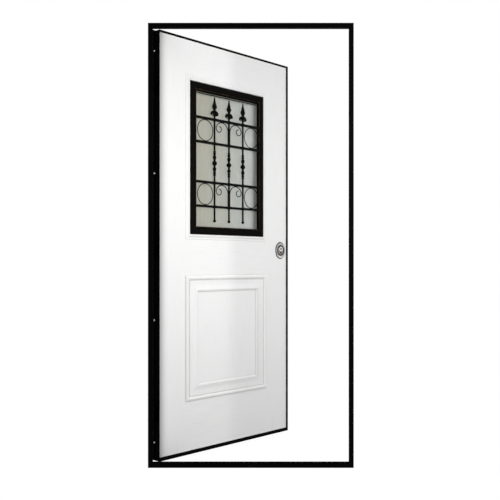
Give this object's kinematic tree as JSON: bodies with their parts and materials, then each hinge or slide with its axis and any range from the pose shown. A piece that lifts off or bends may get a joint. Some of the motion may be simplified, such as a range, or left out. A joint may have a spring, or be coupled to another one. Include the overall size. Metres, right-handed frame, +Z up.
{
  "type": "security door",
  "caption": "White steel security door in a slim black frame, with a wrought iron grille over an obscure glass window, a raised lower panel and an oval lock plate.",
  "frame": {"origin": "centre of the threshold's underside, mid-width and mid-depth of the frame", "axes": "+Z up, +X to the viewer's right (the lock side), -Y towards the outside face that the picture shows"},
  "size_m": [0.994, 0.782, 2.15],
  "materials": {
    "frame_black": "satin",
    "leaf_white": "satin, faint upright grain",
    "core_foam": "rigid foam",
    "obscure_glass": "textured",
    "gasket_rubber": "matte",
    "window_black": "satin",
    "grille_iron": "semi gloss",
    "steel": "brushed",
    "escutcheon_chrome": "satin",
    "brass": "nickel plated"
  },
  "bodies": {
    "frame": {"hinge_jamb": "frame_black", "lock_jamb": "frame_black", "frame_head": "frame_black", "threshold": "frame_black", "frame_gasket": "gasket_rubber", "strike_plate": "steel", "frame_knuckle_bottom": "frame_black", "frame_knuckle_middle": "frame_black", "frame_knuckle_top": "frame_black"},
    "leaf": {"outer_skin": "leaf_white", "inner_skin": "leaf_white", "leaf_core": "core_foam", "edge_strip_hinge": "frame_black", "edge_strip_lock": "frame_black", "edge_strip_top": "frame_black", "edge_strip_bottom": "frame_black", "dog_bolt_bottom": "steel", "dog_bolt_lower_middle": "steel", "dog_bolt_upper_middle": "steel", "dog_bolt_top": "steel", "leaf_knuckle_bottom": "leaf_white", "leaf_knuckle_middle": "leaf_white", "leaf_knuckle_top": "leaf_white", "glass_pane": "obscure_glass", "window_frame_outside": "window_black", "window_frame_inside": "window_black", "grille_rail_1": "grille_iron", "grille_rail_2": "grille_iron", "grille_rail_3": "grille_iron", "grille_rail_4": "grille_iron", "picket_left": "grille_iron", "picket_middle": "grille_iron", "picket_right": "grille_iron", "upper_rings": "grille_iron", "lower_rings": "grille_iron", "upper_scrolls": "grille_iron", "lower_scrolls": "grille_iron", "escutcheon_outside": "escutcheon_chrome", "escutcheon_inside": "escutcheon_chrome", "mortise_lock": "steel", "lock_bolts": "steel", "lock_cylinder": "steel"},
    "plug": {"key_plug": "brass"}
  },
  "joints": [
    {"name": "leaf_swing", "type": "hinge", "parent": "frame", "child": "leaf", "pos_m": [-0.489, 0.046, 1.075], "axis": [0, 0, 1], "range_deg": [-46.7, 53.3]},
    {"name": "plug_turn", "type": "hinge", "parent": "leaf", "child": "plug", "pos_m": [0.17396, 0.66203, 1.071], "axis": [0.7278, -0.6858, 0], "continuous": true}
  ]
}
